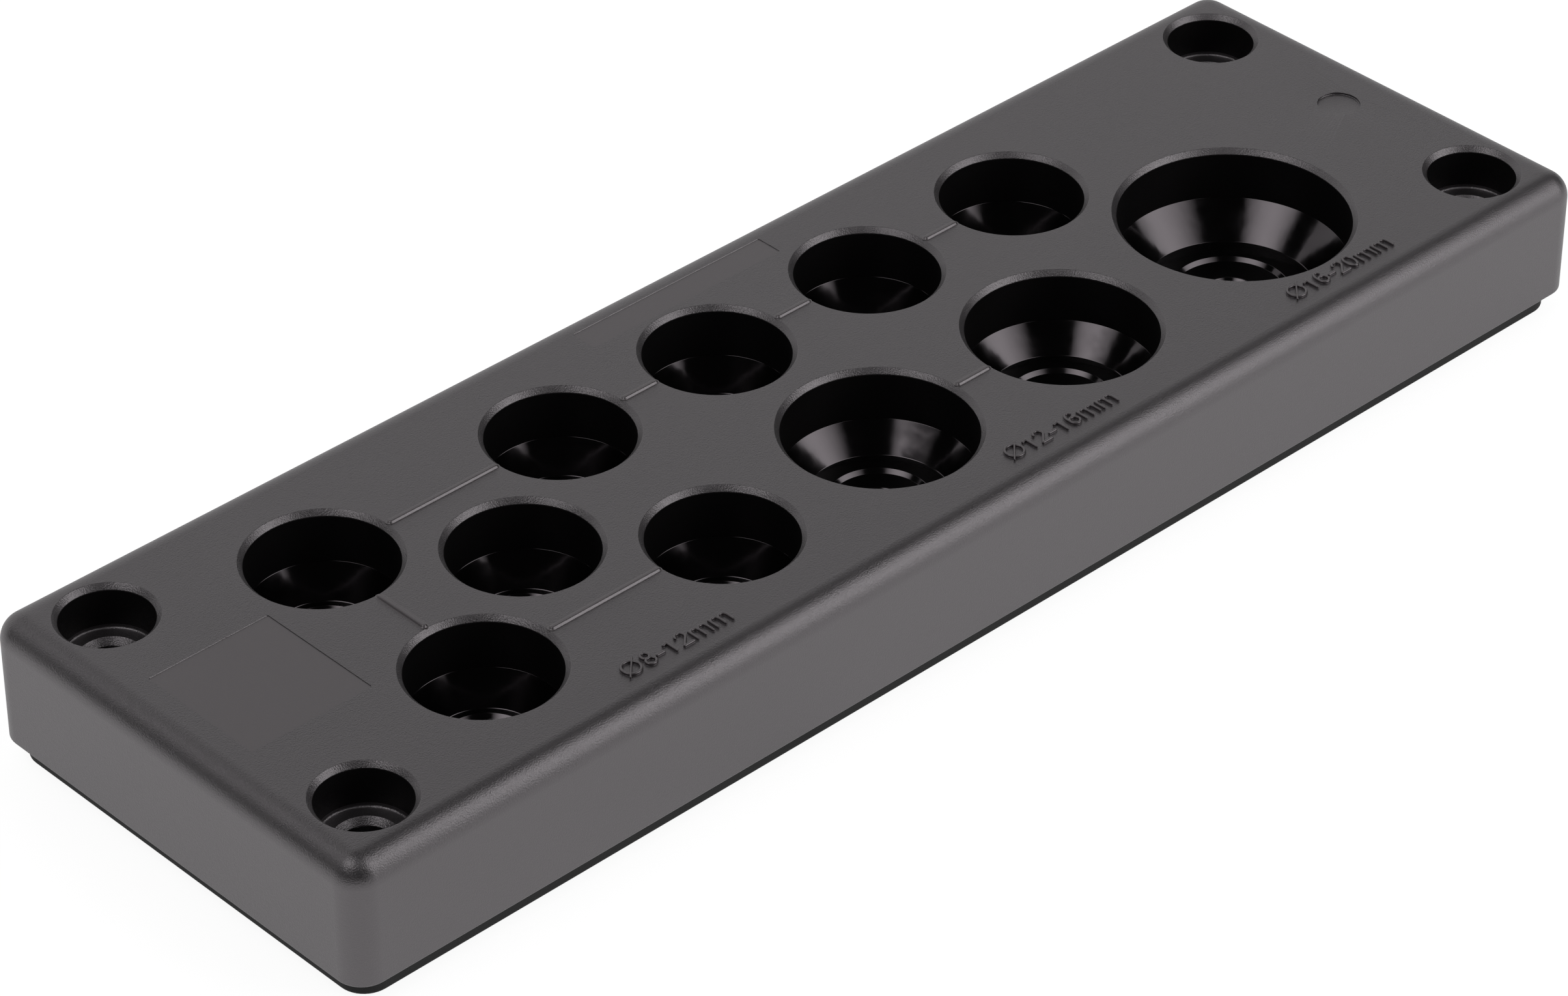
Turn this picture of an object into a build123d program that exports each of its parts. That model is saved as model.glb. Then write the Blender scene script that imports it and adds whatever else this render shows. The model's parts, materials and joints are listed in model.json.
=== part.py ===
from build123d import *
import os

# Cable entry plate: a hard cover with cable bores, a soft insert with a stepped membrane under each
# bore, and a soft flange gasket. Millimetres. The origin is the centre of the gasket's lower face,
# +X runs along the plate, +Y to the edge with the row of five small bores, and +Z up, out of the panel.

# Cut-out in the panel that the plate closes
panel_cutout_length = 112.0
panel_cutout_width = 36.0

# Cover body, and how far it reaches past the cut-out
cover_reach_x = 15.95
cover_reach_y = 4.9
cover_height = 12.0
corner_radius = 2.5
top_edge_radius = 2.4
lower_edge_radius = 0.2

# Gasket under the cover's lower rim
gasket_height = 2.0
gasket_inset = 1.05
gasket_corner_radius = 2.5
gasket_edge_radius = 0.3
gasket_window_gap = 0.25

# Well behind the cover, a little larger than the cut-out
well_margin = 0.5
well_end_margin = 1.0
well_corner_radius = 3.0
top_wall = 3.0

# Fixing screws: past the cut-out's ends, and inside the lines of its sides
screw_past_end = 9.0
screw_inside_line = 2.0
screw_hole_radius = 2.25
screw_lead_in = 0.55
screw_head_radius = 4.0
screw_seat_depth = 4.25
screw_seat_fillet = 0.25

# Pockets that keep the cover's ends to an even wall
end_outer_wall = 2.2
end_inner_wall = 1.8
end_rib = 1.6
end_pocket_span = 17.0
end_pocket_radius = 0.8

# Cable bores: radius of each size
small_bore_radius = 6.5
medium_bore_radius = 8.5
large_bore_radius = 10.5
bore_chamfer = 0.45
collar_wall = 1.4
collar_depth = 5.0

# Places of the bores. Along the plate, the lands at the well's ends are given, and the rest goes to the
# walls between neighbours. Across it, a small and a medium bore leave a spare width, of which this share
# lies at each side of the well, and the rest between the two rows.
left_land = 3.0
right_land = 2.0
side_land_share = 2 / 7
cluster_half_pitch = 13.0
small_row_count = 4
medium_count = 2

# Membranes: throat radius, depth of the floor below the cover's top face, radii of the two steps
small_throat_radius = 4.65
small_floor_depth = 7.85
small_outer_step = 4.1
small_inner_step = 1.9
medium_throat_radius = 6.4
medium_floor_depth = 7.45
medium_outer_step = 4.6
medium_inner_step = 2.2
large_throat_radius = 7.75
large_floor_depth = 8.1
large_outer_step = 5.45
large_inner_step = 2.5
seam_step = 0.05
step_width = 0.36
step_drop = 0.37
membrane_thickness = 0.8
sleeve_wall = 1.2

# Insert plate that joins the membranes, and the bead that holds it in the cover
insert_plate = 2.5
insert_side_gap = 0.1
bead_height = 1.0
bead_reach = 0.6
bead_gap = 0.1
bead_drop = 0.75
bead_root = 1.2

# Fine raised lines that join bores of one size, and shallow marks on the top face
line_width = 0.3
line_height = 0.15
line_end_gap = 0.15
dimple_radius = 1.95
dimple_depth = 0.2
badge_panel_size = (12.2, 13.0)
badge_past_end = 5.7
badge_y = 0.6
strip_panel_size = (22.0, 2.8)
strip_x = 0.0
strip_inset = 4.1
panel_depth = 0.06

# Levels
rim_z = gasket_height
top_z = gasket_height + cover_height
well_top_z = top_z - top_wall
collar_z = top_z - collar_depth
plate_z = collar_z - insert_plate
bead_top_z = collar_z - bead_drop

# Outlines, all from the cut-out
cover_length = panel_cutout_length + 2 * cover_reach_x
cover_width = panel_cutout_width + 2 * cover_reach_y
well_length = panel_cutout_length + 2 * well_end_margin
well_width = panel_cutout_width + 2 * well_margin
gasket_length = cover_length - 2 * gasket_inset
gasket_width = cover_width - 2 * gasket_inset

# Screws, and the two bare panels on the top face
screw_x = panel_cutout_length / 2 + screw_past_end
screw_y = panel_cutout_width / 2 - screw_inside_line
screw_places = [(side_x * screw_x, side_y * screw_y) for side_x in (-1, 1) for side_y in (-1, 1)]
badge_panel_place = (-panel_cutout_length / 2 - badge_past_end, badge_y)
strip_panel_place = (strip_x, cover_width / 2 - strip_inset)

# Line that all bores touch, front and back, and from it the height of each row
spare_width = well_width - 2 * small_bore_radius - 2 * medium_bore_radius
bore_line = well_width / 2 - side_land_share * spare_width
small_y = bore_line - small_bore_radius
medium_y = medium_bore_radius - bore_line
large_y = large_bore_radius - bore_line

# Along the front row: the cluster, the medium bores and the large bore, with one wall between them all
first_x = small_bore_radius + left_land - well_length / 2
large_x = well_length / 2 - right_land - large_bore_radius
cluster_x = first_x + cluster_half_pitch
cluster_end_x = cluster_x + cluster_half_pitch
front_spare = large_x - large_bore_radius - cluster_end_x - small_bore_radius
bore_wall = (front_spare - 2 * medium_bore_radius * medium_count) / (medium_count + 1)
small_pitch = 2 * small_bore_radius + bore_wall
medium_pitch = 2 * medium_bore_radius + bore_wall
first_medium_x = cluster_end_x + small_bore_radius + bore_wall + medium_bore_radius

# Bores by size, each with its own centres
back_row = [(first_x, small_y)]
back_row += [(cluster_end_x + k * small_pitch, small_y) for k in range(small_row_count)]
front_pair = [(first_x, -small_y), (cluster_end_x, -small_y)]
small_places = back_row + [(cluster_x, 0.0)] + front_pair
medium_places = [(first_medium_x + k * medium_pitch, medium_y) for k in range(medium_count)]
large_places = [(large_x, large_y)]
small_steps = (small_outer_step, small_inner_step)
medium_steps = (medium_outer_step, medium_inner_step)
large_steps = (large_outer_step, large_inner_step)
bores = [
    (small_places, small_bore_radius, small_throat_radius, small_floor_depth, small_steps),
    (medium_places, medium_bore_radius, medium_throat_radius, medium_floor_depth, medium_steps),
    (large_places, large_bore_radius, large_throat_radius, large_floor_depth, large_steps),
]


def block(length, width, radius, low, high):
    """A rounded rectangle, centred on the origin, from one level up to another."""
    return extrude(Pos(0, 0, low) * RectangleRounded(length, width, radius), high - low)


def disc(x, y, radius, low, high):
    """A round bar, or what a drill takes away, between two levels."""
    return extrude(Pos(x, y, low) * Circle(radius), high - low)


def turned(x, y, points):
    """A turned shape: its section, radius then height, goes once round the axis at x, y."""
    section = make_face(Polyline(*[(radius, 0, height) for radius, height in points], close=True))
    return Pos(x, y, 0) * revolve(section, Axis.Z)


def cable_bore(x, y, radius):
    """What a cable bore takes out of the cover: a straight wall with a chamfered mouth."""
    mouth = radius + bore_chamfer
    return turned(x, y, [
        (0, collar_z),
        (radius, collar_z),
        (radius, top_z - bore_chamfer),
        (mouth, top_z),
        (mouth, top_z + line_height),
        (0, top_z + line_height),
    ])


def screw_bore(x, y):
    """What a fixing screw takes out of the cover: through hole, lead-in, seat for the head, chamfer."""
    seat_z = top_z - screw_seat_depth
    mouth = screw_head_radius + bore_chamfer
    hole = turned(x, y, [
        (0, rim_z),
        (screw_hole_radius, rim_z),
        (screw_hole_radius, seat_z - screw_lead_in),
        (screw_hole_radius + screw_lead_in, seat_z),
        (screw_head_radius, seat_z),
        (screw_head_radius, top_z - bore_chamfer),
        (mouth, top_z),
        (0, top_z),
    ])
    seat_edges = hole.edges().filter_by(GeomType.CIRCLE).filter_by_position(Axis.Z, seat_z, seat_z)
    return fillet(seat_edges.sort_by(SortBy.RADIUS)[-1], screw_seat_fillet)


def fine_line(start, end):
    """A fine raised line on the top face, from the axis of one bore to that of another."""
    length = abs(end[0] - start[0]) + line_width
    width = abs(end[1] - start[1]) + line_width
    place = Pos((start[0] + end[0]) / 2, (start[1] + end[1]) / 2, top_z)
    return extrude(place * Rectangle(length, width), line_height)


def size_lines():
    """Lines along the back row, round the cluster's left and front, and between the medium bores, all
    cut clear of the bores' mouths."""
    pairs = list(zip(back_row, back_row[1:]))
    pairs += [front_pair, (back_row[0], front_pair[0])]
    pairs += zip(medium_places, medium_places[1:])
    lines = Part() + [fine_line(start, end) for start, end in pairs]
    clear = bore_chamfer + line_end_gap
    return lines - [
        disc(x, y, bore_radius + clear, top_z, top_z + line_height)
        for places, bore_radius, *_ in bores
        for x, y in places
    ]


def shallow_panel(size, place):
    """The shallow recess of a bare panel in the top face."""
    return Pos(place[0], place[1], top_z - panel_depth / 2) * Box(size[0], size[1], panel_depth)


def end_pockets():
    """Two pockets in each end of the cover, either side of a rib, open towards the gasket."""
    inner_x = well_length / 2 + end_inner_wall
    outer_x = cover_length / 2 - end_outer_wall
    width = (end_pocket_span - end_rib) / 2
    pockets = []
    for side_x in (-1, 1):
        for side_y in (-1, 1):
            place = Pos(side_x * (inner_x + outer_x) / 2, side_y * (end_rib + width) / 2, rim_z)
            outline = RectangleRounded(outer_x - inner_x, width, end_pocket_radius)
            pockets.append(extrude(place * outline, well_top_z - rim_z))
    return pockets


def bead_ring(reach, low, high):
    """A flat ring round the well's wall, from its root inside the insert out to the given reach."""
    outer = block(well_length + 2 * reach, well_width + 2 * reach, well_corner_radius + reach, low, high)
    root_length = well_length - 2 * bead_root
    root_width = well_width - 2 * bead_root
    return outer - block(root_length, root_width, well_corner_radius - bead_root, low, high)


def make_cover_frame():
    """The hard cover: a rounded body, its well with a collar under each bore, and all its holes."""
    body = block(cover_length, cover_width, corner_radius, rim_z, top_z)
    body = fillet(body.faces().sort_by(Axis.Z)[-1].edges(), top_edge_radius)
    body = fillet(body.faces().sort_by(Axis.Z)[0].edges(), lower_edge_radius)
    body -= block(well_length, well_width, well_corner_radius, rim_z, well_top_z)
    body -= bead_ring(bead_reach, bead_top_z - bead_height, bead_top_z)
    body -= end_pockets()
    body += [
        disc(x, y, bore_radius + collar_wall, collar_z, well_top_z)
        for places, bore_radius, *_ in bores
        for x, y in places
    ]
    body += size_lines().solids()
    body -= [cable_bore(x, y, bore_radius) for places, bore_radius, *_ in bores for x, y in places]
    body -= [screw_bore(x, y) for x, y in screw_places]
    body -= shallow_panel(badge_panel_size, badge_panel_place)
    body -= shallow_panel(strip_panel_size, strip_panel_place)
    body -= disc(screw_x, 0, dimple_radius, top_z - dimple_depth, top_z)
    return body


def membrane_steps(floor_z, steps, grown):
    """The membrane's two steps, radius then height, from its closed centre out to the floor's level."""
    outer_step, inner_step = [radius + grown for radius in steps]
    middle_z = floor_z - step_drop
    centre_z = middle_z - step_drop
    return [
        (0, centre_z),
        (inner_step - step_width, centre_z),
        (inner_step, middle_z),
        (outer_step - step_width, middle_z),
        (outer_step, floor_z),
    ]


def membrane_sleeve(x, y, throat_radius, floor_depth, steps):
    """What one membrane adds below the insert's plate: a sleeve, closed by the membrane's underside."""
    under_z = top_z - floor_depth - membrane_thickness
    sleeve = throat_radius + sleeve_wall
    underside = membrane_steps(under_z, steps, membrane_thickness / 2)
    return turned(x, y, underside + [(sleeve, under_z), (sleeve, collar_z), (0, collar_z)])


def membrane_funnel(x, y, mouth_radius, throat_radius, floor_depth, steps):
    """The space over one membrane: a funnel down from the bore, a flat floor, and the two steps."""
    floor_z = top_z - floor_depth
    upper_side = membrane_steps(floor_z, steps, 0)
    return turned(x, y, upper_side + [(throat_radius, floor_z), (mouth_radius, collar_z), (0, collar_z)])


def make_membrane_insert():
    """The soft insert: one plate under the collars, with a membrane under each bore and a bead."""
    length = well_length - 2 * insert_side_gap
    width = well_width - 2 * insert_side_gap
    body = block(length, width, well_corner_radius - insert_side_gap, plate_z, collar_z)
    body += bead_ring(bead_reach - bead_gap, bead_top_z - bead_height + bead_gap, bead_top_z - bead_gap)
    sleeves = []
    funnels = []
    for places, bore_radius, *sizes in bores:
        for x, y in places:
            sleeves.append(membrane_sleeve(x, y, *sizes))
            funnels.append(membrane_funnel(x, y, bore_radius + seam_step, *sizes))
    body += sleeves
    body -= funnels
    return body


def make_flange_gasket():
    """The flat seal: the land round the well, with a hole for each fixing screw."""
    body = block(gasket_length, gasket_width, gasket_corner_radius, 0, rim_z)
    body = fillet(body.faces().sort_by(Axis.Z)[0].edges(), gasket_edge_radius)
    window_length = well_length + 2 * gasket_window_gap
    window_width = well_width + 2 * gasket_window_gap
    body -= block(window_length, window_width, well_corner_radius + gasket_window_gap, 0, rim_z)
    body -= [disc(x, y, screw_hole_radius, 0, rim_z) for x, y in screw_places]
    return body


parts = {
    "cover_frame": make_cover_frame(),
    "membrane_insert": make_membrane_insert(),
    "flange_gasket": make_flange_gasket(),
}

os.makedirs("parts", exist_ok=True)
for name, shape in parts.items():
    export_step(shape, f"parts/{name}.step")
    print(name, "solids", len(shape.solids()), "volume", round(shape.volume, 1), "valid", shape.is_valid)
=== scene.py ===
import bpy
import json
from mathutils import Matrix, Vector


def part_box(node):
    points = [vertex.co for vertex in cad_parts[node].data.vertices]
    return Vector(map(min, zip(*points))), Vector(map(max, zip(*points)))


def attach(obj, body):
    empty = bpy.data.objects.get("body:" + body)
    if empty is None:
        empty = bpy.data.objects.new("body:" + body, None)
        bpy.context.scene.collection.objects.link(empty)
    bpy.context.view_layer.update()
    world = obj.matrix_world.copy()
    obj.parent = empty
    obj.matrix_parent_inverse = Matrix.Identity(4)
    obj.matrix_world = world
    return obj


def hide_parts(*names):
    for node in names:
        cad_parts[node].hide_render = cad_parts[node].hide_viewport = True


bl_info = {
    "name": "Cable entry plate",
    "version": (1, 0, 0),
    "blender": (4, 5, 0),
    "location": "View3D > Sidebar > Cable plate",
    "description": "Builds a cable entry plate with eleven membranes round its packed frame",
    "category": "Object",
}

import json
import math

import bmesh
import bpy
import numpy as np
from bpy.props import FloatProperty, FloatVectorProperty, PointerProperty
from bpy.types import Operator, Panel, PropertyGroup
from mathutils import Matrix, Vector
from mathutils.geometry import delaunay_2d_cdt

# The plate lies with its top face up. X runs along it, to the end with the large bore, and Y across it, to
# the edge with the row of five small bores. The origin is the middle of the gasket's lower face.

MM = 0.001
SIZES = ("small", "medium", "large")
SIZE_WORDS = ("Ø8-12mm", "Ø12-16mm", "Ø16-20mm")
LINED_BORES = (
    ("a1", "a2"), ("a2", "a3"), ("a3", "a4"), ("a4", "a5"), ("b1", "b3"), ("a1", "b1"), ("m1", "m2"),
)

# Materials: the cover's grained outside, its smoother bores, whose darker and less mirroring copy of the
# cover plastic is painted shade, its bare panels and raised marks, the insert and the gasket
GRAINED = "charcoal_plastic"
SHADED_BORES = "bore_plastic"
BARE = "panel_plastic"
GLOSSY = "black_rubber"
MATT = "matt_rubber"

# Fineness of the meshes, as steps in a full circle, a corner's quarter turn, the rounding of the cover's
# edges, the rounding of a small edge, the end of a stroke, a straight run, an arc and a closed ellipse
BORE_STEPS = 128
CORNER_STEPS = 12
BODY_EDGE_STEPS = 16
SMALL_EDGE_STEPS = 5
STROKE_END_STEPS = 4
RUN_STEPS = 6
ARC_STEPS = 20
OVAL_STEPS = 40

# Distances under which points are one, in a mesh and, in millimetres, in a flat face, the angle from which
# an edge is sharp, and how far raised strokes reach down into the top face
MERGE_DISTANCE = 0.0001 * MM
FLAT_TOLERANCE = 1e-7
SHARP_ANGLE = math.radians(28)
SUNK_DEPTH = 0.3 * MM

# Finishes: range that nearly all noise values lie in, darker and lighter shares of a tint, how far the
# roughness strays, and the share of the grain's depth that its finer speckle has
NOISE_RANGE = (0.3, 0.7)
PATCH_TONES = (0.93, 1.08)
TOOTH_TONES = (0.8, 1.2)
PLASTIC_GLOSS = (-0.05, 0.06)
RUBBER_GLOSS = (-0.03, 0.05)
SPECKLE_SHARE = 0.4

# Colour sockets of a Mix node, which follow those for numbers and vectors
MIX_FIRST = 6
MIX_SECOND = 7
MIX_RESULT = 2

WHITE = (1, 1, 1, 1)

# Camera: width of its sensor in millimetres, and the nearest and the farthest that it sees, in metres
SENSOR_WIDTH = 36
NEAREST_SEEN = 0.01
FARTHEST_SEEN = 20

# Softboxes that face the plate: name, directions of both lower corners, as azimuths from the camera and
# elevations, and height, all in degrees, then the corners' distance in metres, the mean radiance, and the
# side along which the box fades, X for its width and Y for its height
SOFTBOXES = (
    ("right softbox", (36, 59), (59, 3), 47, 0.9, 2.0, "Y"),
    ("left softbox", (-76, 36), (-18, 44), 29, 1.4, 2.05, "X"),
    ("back softbox", (150, 2), (260, 2), 51, 1.45, 0.76, None),
)
FADE_PEAK = 1.5

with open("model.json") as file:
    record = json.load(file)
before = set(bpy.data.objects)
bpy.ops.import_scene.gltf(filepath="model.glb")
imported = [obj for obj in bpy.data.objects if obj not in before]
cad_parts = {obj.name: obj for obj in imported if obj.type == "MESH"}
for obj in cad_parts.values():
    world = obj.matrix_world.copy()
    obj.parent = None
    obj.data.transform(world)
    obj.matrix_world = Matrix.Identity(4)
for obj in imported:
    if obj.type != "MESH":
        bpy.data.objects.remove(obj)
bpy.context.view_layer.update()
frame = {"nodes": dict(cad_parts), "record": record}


def mm_size(name, description, value):
    """A length property, given in millimetres and kept in metres."""
    return FloatProperty(name=name, description=description, default=value * MM, unit="LENGTH", precision=5)


def mm_sizes(name, description, values):
    """Three lengths, for the small, medium and large bores."""
    default = [value * MM for value in values]
    return FloatVectorProperty(name=name, description=description, default=default, unit="LENGTH", size=3,
                               precision=5)


def colour(name, description, value):
    """A linear colour property."""
    return FloatVectorProperty(name=name, description=description, default=value, subtype="COLOR", size=3,
                               min=0, max=1)


def share(name, description, value):
    """A property that runs from 0 to 1."""
    return FloatProperty(name=name, description=description, default=value, min=0, max=1, subtype="FACTOR")


def refraction(name, description, value):
    """A refractive index, which sets how strongly a surface mirrors."""
    return FloatProperty(name=name, description=description, default=value, min=1, max=3)


def angle(name, description, degrees):
    """An angle property, given in degrees and kept in radians."""
    return FloatProperty(name=name, description=description, default=math.radians(degrees), subtype="ANGLE",
                         unit="ROTATION")


class CoverSizes(PropertyGroup):
    """Edges, walls and hollows of the hard cover."""

    corner_radius: mm_size("Corner radius", "Radius of the cover's upright corners", 2.5)
    top_edge_radius: mm_size("Top edge radius", "Radius along the edge of the top face", 2.4)
    lower_edge_radius: mm_size("Lower edge radius", "Radius along the lower rim", 0.2)
    bore_chamfer: mm_size("Chamfer", "Width of the chamfer at the mouth of bores and screw seats", 0.45)
    edge_rounding: mm_size("Edge rounding", "Radius that breaks the edges of chamfers and seats", 0.08)
    collar_wall: mm_size("Collar wall", "Wall of the collar under each cable bore", 1.4)
    collar_depth: mm_size("Collar depth", "From the top face down to the end of the collars", 5.0)
    top_wall: mm_size("Top wall", "Thickness of the cover over its well", 3.0)
    well_length: mm_size("Well length", "Length of the well behind the cover", 114.0)
    well_width: mm_size("Well width", "Width of the well behind the cover", 37.0)
    well_radius: mm_size("Well radius", "Radius of the well's corners", 3.0)
    groove_reach: mm_size("Groove reach", "Depth of the groove that holds the insert's bead", 0.6)
    groove_height: mm_size("Groove height", "Height of that groove", 1.0)
    groove_drop: mm_size("Groove drop", "From the end of the collars down to the groove", 0.75)
    screw_head_radius: mm_size("Screw seat radius", "Radius of the seat for a screw's head", 4.0)
    screw_seat_depth: mm_size("Screw seat depth", "From the top face down to the seat", 4.25)
    screw_seat_fillet: mm_size("Screw seat fillet", "Radius between the seat and its wall", 0.25)
    screw_wall_end: mm_size("Screw wall end", "From the seat up to where its smooth wall starts", 0.375)
    screw_lead_in: mm_size("Screw lead-in", "Width of the lead-in from the seat to the hole", 0.55)
    pocket_length: mm_size("Pocket length", "Length of each pocket in the cover's ends", 10.95)
    pocket_width: mm_size("Pocket width", "Width of each pocket in the cover's ends", 7.7)
    pocket_radius: mm_size("Pocket radius", "Radius of the pockets' corners", 0.8)
    pocket_rib: mm_size("Pocket rib", "Rib between the two pockets of one end", 1.6)
    pocket_wall: mm_size("Pocket wall", "Wall between a pocket and the cover's end", 2.2)


class TopMarkSizes(PropertyGroup):
    """Shallow and raised marks on the top face."""

    line_width: mm_size("Line width", "Width of the fine lines between bores of one size", 0.66)
    line_height: mm_size("Line height", "Height of those lines over the top face", 0.2)
    line_foot: mm_size("Line foot", "Radius along the foot of those lines", 0.2)
    line_edge: mm_size("Line edge", "Radius along the upper edges of those lines", 0.15)
    line_lean: mm_size("Line lean", "How far each side of those lines leans in", 0.16)
    line_overlap: mm_size("Line overlap", "How far the end of a line reaches onto a bore's chamfer", 0.08)
    frame_line: mm_size("Frame's line height", "Height of the frame's plain lines, part of its box", 0.15)
    stroke_width: mm_size("Stroke width", "Width of the strokes of the size marks", 0.24)
    stroke_height: mm_size("Stroke height", "Height of the size marks over the top face", 0.22)
    stroke_foot: mm_size("Stroke foot", "Radius along the foot of the strokes", 0.02)
    stroke_edge: mm_size("Stroke edge", "Radius along the upper edges of the strokes", 0.09)
    stroke_step: mm_size("Stroke step", "Height between crossing strokes, so that no faces coincide", 0.004)
    mark_inset: mm_size("Mark inset", "From the cover's front edge to the foot of the size marks", 3.75)
    dimple_radius: mm_size("Dimple radius", "Radius of the round dimple", 1.95)
    dimple_depth: mm_size("Dimple depth", "Depth of the round dimple", 0.2)
    dimple_rounding: mm_size("Dimple rounding", "Radius along the dimple's upper edge", 0.04)
    badge_length: mm_size("Square panel length", "Length of the bare square panel", 12.2)
    badge_width: mm_size("Square panel width", "Width of the bare square panel", 13.0)
    badge_x: mm_size("Square panel place, X", "Middle of the bare square panel", -61.7)
    badge_y: mm_size("Square panel place, Y", "Middle of the bare square panel", 0.6)
    strip_length: mm_size("Strip panel length", "Length of the bare strip panel", 22.0)
    strip_width: mm_size("Strip panel width", "Width of the bare strip panel", 2.8)
    strip_inset: mm_size("Strip panel inset", "From the cover's back edge to the strip's middle", 4.1)
    panel_depth: mm_size("Panel depth", "Depth of both bare panels", 0.06)
    panel_radius: mm_size("Panel radius", "Radius of the corners of both bare panels", 0.16)
    panel_draft: mm_size("Panel draft", "How far each wall of both bare panels leans in", 0.04)


class InsertSizes(PropertyGroup):
    """The soft insert and its membranes."""

    throat_radii: mm_sizes("Throat radii", "Radius where each funnel meets its floor", (4.65, 6.4, 7.75))
    floor_depths: mm_sizes("Floor depths", "From the top face down to each floor", (7.85, 7.45, 8.1))
    outer_steps: mm_sizes("Outer steps", "Radius of the first step in each floor", (4.1, 4.6, 5.45))
    inner_steps: mm_sizes("Inner steps", "Radius of the second step in each floor", (1.9, 2.2, 2.5))
    step_width: mm_size("Step width", "Width of the slope of a step", 0.36)
    step_drop: mm_size("Step drop", "Height of a step", 0.37)
    step_rounding: mm_size("Step rounding", "Radius of the edges of the steps", 0.11)
    throat_rounding: mm_size("Throat rounding", "Radius where each funnel meets its floor", 0.176)
    mouth_rounding: mm_size("Mouth rounding", "Radius at the mouth of each funnel", 0.143)
    mouth_land: mm_size("Mouth land", "Width of the flat ring round each funnel's mouth", 0.22)
    seam_step: mm_size("Seam step", "How far each funnel's mouth lies outside its bore", 0.05)
    membrane_wall: mm_size("Membrane wall", "Thickness of the membranes", 0.8)
    sleeve_wall: mm_size("Sleeve wall", "Wall of the sleeve round each throat", 1.2)
    sleeve_rounding: mm_size("Sleeve rounding", "Radius from each floor's lower side to its sleeve", 0.22)
    plate_wall: mm_size("Plate wall", "Thickness of the plate that joins the membranes", 2.5)
    side_gap: mm_size("Side gap", "Gap between the insert and the well", 0.1)
    bead_gap: mm_size("Bead gap", "Gap between the bead and its groove", 0.1)


class Finishes(PropertyGroup):
    """Colours, roughness, reflectance and grain of the three plastics and the two rubbers."""

    plastic: colour("Cover plastic", "Charcoal of the hard cover", (0.0055, 0.005, 0.0052))
    plastic_sheen: colour("Plastic sheen", "Tint of the reflections on the plastics", (1.0, 0.935, 0.975))
    plastic_roughness: share("Plastic roughness", "Roughness of the plastics", 0.4)
    plastic_index: refraction("Cover reflectance", "Refractive index of the cover's skin", 2.1)
    plastic_grain: mm_size("Cover grain", "Depth of the grain on the cover", 0.03)
    # Bore plastic is painted shade: a darker, less mirroring copy of the cover plastic for the walls inside
    # the bores and screw holes
    bore: colour("Bore plastic", "Walls of the bores, off smooth cores", (0.003, 0.0028, 0.0029))
    shaded_bore_index: refraction("Bore reflectance", "Refractive index of the bores' skin", 1.35)
    bore_grain: mm_size("Bore grain", "Depth of the grain in the bores", 0.02)
    panel: colour("Panel plastic", "Bare panels, fine lines and size marks, a little warmer",
                  (0.0075, 0.005, 0.0052))
    panel_grain: mm_size("Panel grain", "Depth of the grain on bare panels, lines and marks", 0.004)
    grain_size: mm_size("Grain size", "Cells of the plastics' grain", 0.13)
    speckle_size: mm_size("Speckle size", "Cells of the finer speckle in that grain", 0.07)
    patch_size: mm_size("Patch size", "Broad faint patches in the plastics' colour", 9)
    membrane: colour("Membrane rubber", "Black of the soft insert", (0.001, 0.001, 0.001))
    membrane_sheen: colour("Membrane sheen", "Tint of the reflections on the insert", (1.0, 0.9, 0.96))
    membrane_roughness: share("Membrane roughness", "Roughness of the soft insert", 0.11)
    membrane_index: refraction("Membrane reflectance", "Refractive index of the insert's skin", 1.62)
    cloud_size: mm_size("Cloud size", "Faint clouds in the insert's gloss", 2.5)
    wave_size: mm_size("Wave size", "Cells of the insert's slight unevenness", 1.6)
    wave_depth: mm_size("Wave depth", "Depth of that unevenness", 0.012)
    gasket: colour("Gasket rubber", "Dark grey of the gasket", (0.005, 0.0048, 0.0049))
    gasket_roughness: share("Gasket roughness", "Roughness of the gasket", 0.7)
    gasket_index: refraction("Gasket reflectance", "Refractive index of the gasket's skin", 1.42)
    tooth_size: mm_size("Tooth size", "Cells of the gasket's fine tooth", 0.2)
    tooth_depth: mm_size("Tooth depth", "Depth of that tooth", 0.02)


class StageSizes(PropertyGroup):
    """Camera, world and floor."""

    focal_length: FloatProperty(name="Focal length", description="Focal length in millimetres",
                                default=130.6, min=1)
    azimuth: angle("Azimuth", "Camera's direction round the plate", -43.559)
    elevation: angle("Elevation", "Camera's height over the horizon", 35.666)
    distance: mm_size("Distance", "From the camera to the point that it looks at", 470.3)
    aim_x: mm_size("Aim, X", "Point on the top face that the camera looks at", -14.434)
    aim_y: mm_size("Aim, Y", "Point on the top face that the camera looks at", -9.842)
    world_light: share("World light", "Strength of the even light from all round", 0.3)
    world_mirrored: share("World in reflections", "Strength of the world in reflections", 0.01)
    floor: colour("Floor", "Pale floor", (0.86, 0.86, 0.86))
    floor_size: mm_size("Floor size", "Side of the square floor", 6000)
    floor_gap: mm_size("Floor gap", "From the gasket down to the floor", 0.02)
    floor_roughness: share("Floor roughness", "Roughness of the floor", 0.9)
    floor_gloss: share("Floor gloss", "How strongly the floor mirrors", 0.1)
    floor_shown: share("White floor", "Share of even white in the floor that the camera sees", 0.8)
    floor_mirrored: share("White floor in reflections", "Share of even white in the mirrored floor", 0.68)
    floor_white: FloatProperty(name="Floor's white", description="Strength of that white", default=1.12,
                               min=0)


class PlateSettings(PropertyGroup):
    """All sizes and colours of the plate."""

    cover: PointerProperty(type=CoverSizes)
    marks: PointerProperty(type=TopMarkSizes)
    insert: PointerProperty(type=InsertSizes)
    finish: PointerProperty(type=Finishes)
    stage: PointerProperty(type=StageSizes)


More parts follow.
